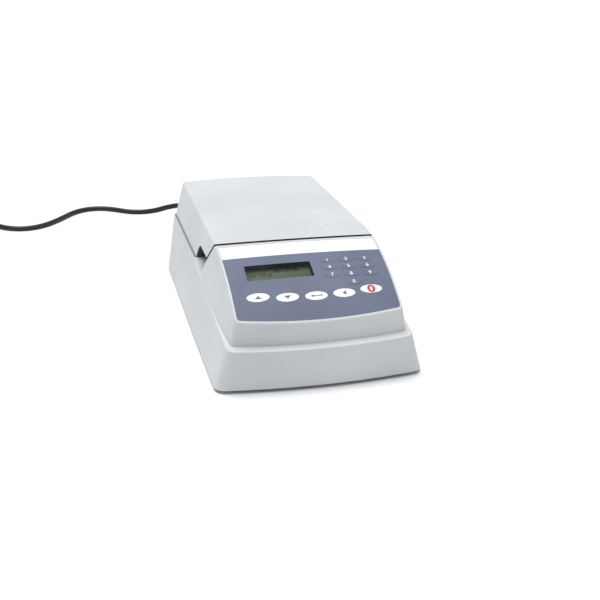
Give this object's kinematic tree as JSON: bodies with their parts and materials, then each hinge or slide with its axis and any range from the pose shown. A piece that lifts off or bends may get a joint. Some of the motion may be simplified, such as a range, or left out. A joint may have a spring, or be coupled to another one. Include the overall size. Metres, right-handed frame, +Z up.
{
  "type": "slide hybridizer",
  "caption": "Heated bench unit that denatures and hybridizes microscope slides under a hinged lid, with a keypad console and display.",
  "frame": {"origin": "middle of the body's footprint, on the surface that the feet stand on", "axes": "+X to the right, +Y to the back, +Z up; the control console faces -Y"},
  "size_m": [0.6268, 0.772, 0.1347],
  "materials": {
    "housing_plastic": "fine moulded texture",
    "lid_plastic": "fine moulded texture",
    "liner_plastic": "smooth moulded",
    "insulation_foam": "closed-cell foam",
    "steel": "plain",
    "plate_aluminium": "dark anodised",
    "heater_silicone": "moulded sheet",
    "frame_plastic": "smooth moulded",
    "seal_silicone": "moulded",
    "fan_plastic": "moulded",
    "foot_rubber": "moulded",
    "overlay_film": "printed film, fine grain",
    "membrane_film": "clear film",
    "display_film": "clear window film",
    "display_bezel": "black",
    "display_glass": "reflective display",
    "circuit_board": "green solder mask",
    "black_plastic": "moulded",
    "cord_rubber": "smooth jacket",
    "tie_fabric": "hook and loop",
    "key_plastic": "printed symbols"
  },
  "bodies": {
    "base": {"base_housing": "housing_plastic", "bottom_plate": "steel", "bottom_screws": "steel", "chamber_frame": "frame_plastic", "chamber_seal": "seal_silicone", "control_board": "circuit_board", "control_overlay": "overlay_film", "cord_connector": "cord_rubber", "cord_tie": "tie_fabric", "display_bezel": "display_bezel", "display_board": "circuit_board", "display_glass": "display_glass", "display_window": "display_film", "fan_frame": "fan_plastic", "feet": "foot_rubber", "heat_shield": "steel", "heater_mat": "heater_silicone", "hinge_base_leaves": "steel", "hinge_base_screws": "steel", "hinge_pins": "steel", "key_domes": "steel", "keypad_membrane": "membrane_film", "keypad_tail": "membrane_film", "mains_plug": "cord_rubber", "plate_screws": "steel", "power_cord_coil": "cord_rubber", "power_cord_lead": "cord_rubber", "power_inlet": "black_plastic", "power_supply": "circuit_board", "slide_plate": "plate_aluminium", "switch_housing": "black_plastic", "temperature_sensor": "steel", "thermal_cutout": "steel"},
    "lid": {"lid_shell": "lid_plastic", "lid_liner": "liner_plastic", "lid_insulation": "insulation_foam", "lid_screws": "steel", "hinge_lid_leaves": "steel", "hinge_lid_screws": "steel"},
    "key_up_button": {"key_up": "key_plastic"},
    "key_down_button": {"key_down": "key_plastic"},
    "key_enter_button": {"key_enter": "key_plastic"},
    "key_back_button": {"key_back": "key_plastic"},
    "key_stop_button": {"key_stop": "key_plastic"},
    "key_1_button": {"key_1": "key_plastic"},
    "key_2_button": {"key_2": "key_plastic"},
    "key_3_button": {"key_3": "key_plastic"},
    "key_4_button": {"key_4": "key_plastic"},
    "key_5_button": {"key_5": "key_plastic"},
    "key_6_button": {"key_6": "key_plastic"},
    "key_7_button": {"key_7": "key_plastic"},
    "key_8_button": {"key_8": "key_plastic"},
    "key_9_button": {"key_9": "key_plastic"},
    "key_0_button": {"key_0": "key_plastic"},
    "rocker": {"switch_rocker": "black_plastic"},
    "fuse_holder": {"fuse_drawer": "black_plastic"},
    "rotor": {"fan_rotor": "fan_plastic"}
  },
  "joints": [
    {"name": "lid_hinge", "type": "hinge", "parent": "base", "child": "lid", "pos_m": [0, 0.2202, 0.08425], "axis": [-1, 0, 0], "range_deg": [0, 95]},
    {"name": "key_up_press", "type": "slide", "parent": "base", "child": "key_up_button", "axis": [0.0203, 0.5017, -0.8648], "range_m": [0, 0.00035], "stiffness_N_per_m": 1000, "springref_m": -0.0002},
    {"name": "key_down_press", "type": "slide", "parent": "base", "child": "key_down_button", "axis": [0.0101, 0.513, -0.8583], "range_m": [0, 0.00035], "stiffness_N_per_m": 1000, "springref_m": -0.0002},
    {"name": "key_enter_press", "type": "slide", "parent": "base", "child": "key_enter_button", "axis": [0, 0.5167, -0.8561], "range_m": [0, 0.00035], "stiffness_N_per_m": 1000, "springref_m": -0.0002},
    {"name": "key_back_press", "type": "slide", "parent": "base", "child": "key_back_button", "axis": [-0.0101, 0.513, -0.8583], "range_m": [0, 0.00035], "stiffness_N_per_m": 1000, "springref_m": -0.0002},
    {"name": "key_stop_press", "type": "slide", "parent": "base", "child": "key_stop_button", "axis": [-0.0203, 0.5017, -0.8648], "range_m": [0, 0.00035], "stiffness_N_per_m": 1000, "springref_m": -0.0002},
    {"name": "key_1_press", "type": "slide", "parent": "base", "child": "key_1_button", "axis": [-0.0087, 0.331, -0.9436], "range_m": [0, 0.00035], "stiffness_N_per_m": 1000, "springref_m": -0.0002},
    {"name": "key_2_press", "type": "slide", "parent": "base", "child": "key_2_button", "axis": [-0.0163, 0.331, -0.9435], "range_m": [0, 0.00035], "stiffness_N_per_m": 1000, "springref_m": -0.0002},
    {"name": "key_3_press", "type": "slide", "parent": "base", "child": "key_3_button", "axis": [-0.024, 0.331, -0.9433], "range_m": [0, 0.00035], "stiffness_N_per_m": 1000, "springref_m": -0.0002},
    {"name": "key_4_press", "type": "slide", "parent": "base", "child": "key_4_button", "axis": [-0.0085, 0.3753, -0.9269], "range_m": [0, 0.00035], "stiffness_N_per_m": 1000, "springref_m": -0.0002},
    {"name": "key_5_press", "type": "slide", "parent": "base", "child": "key_5_button", "axis": [-0.0161, 0.3753, -0.9268], "range_m": [0, 0.00035], "stiffness_N_per_m": 1000, "springref_m": -0.0002},
    {"name": "key_6_press", "type": "slide", "parent": "base", "child": "key_6_button", "axis": [-0.0236, 0.3753, -0.9266], "range_m": [0, 0.00035], "stiffness_N_per_m": 1000, "springref_m": -0.0002},
    {"name": "key_7_press", "type": "slide", "parent": "base", "child": "key_7_button", "axis": [-0.0084, 0.4188, -0.908], "range_m": [0, 0.00035], "stiffness_N_per_m": 1000, "springref_m": -0.0002},
    {"name": "key_8_press", "type": "slide", "parent": "base", "child": "key_8_button", "axis": [-0.0157, 0.4188, -0.9079], "range_m": [0, 0.00035], "stiffness_N_per_m": 1000, "springref_m": -0.0002},
    {"name": "key_9_press", "type": "slide", "parent": "base", "child": "key_9_button", "axis": [-0.0231, 0.4188, -0.9078], "range_m": [0, 0.00035], "stiffness_N_per_m": 1000, "springref_m": -0.0002},
    {"name": "key_0_press", "type": "slide", "parent": "base", "child": "key_0_button", "axis": [-0.0154, 0.4614, -0.8871], "range_m": [0, 0.00035], "stiffness_N_per_m": 1000, "springref_m": -0.0002},
    {"name": "rocker_tilt", "type": "hinge", "parent": "base", "child": "rocker", "pos_m": [0.086, 0.20948, 0.033], "axis": [-1, 0, 0], "range_deg": [0, 16]},
    {"name": "fuse_drawer_slide", "type": "slide", "parent": "base", "child": "fuse_holder", "axis": [0, 1, 0], "range_m": [0, 0.014]},
    {"name": "fan_spin", "type": "hinge", "parent": "base", "child": "rotor", "pos_m": [0, 0.1024, 0.0358], "axis": [0, 0, 1], "continuous": true}
  ]
}
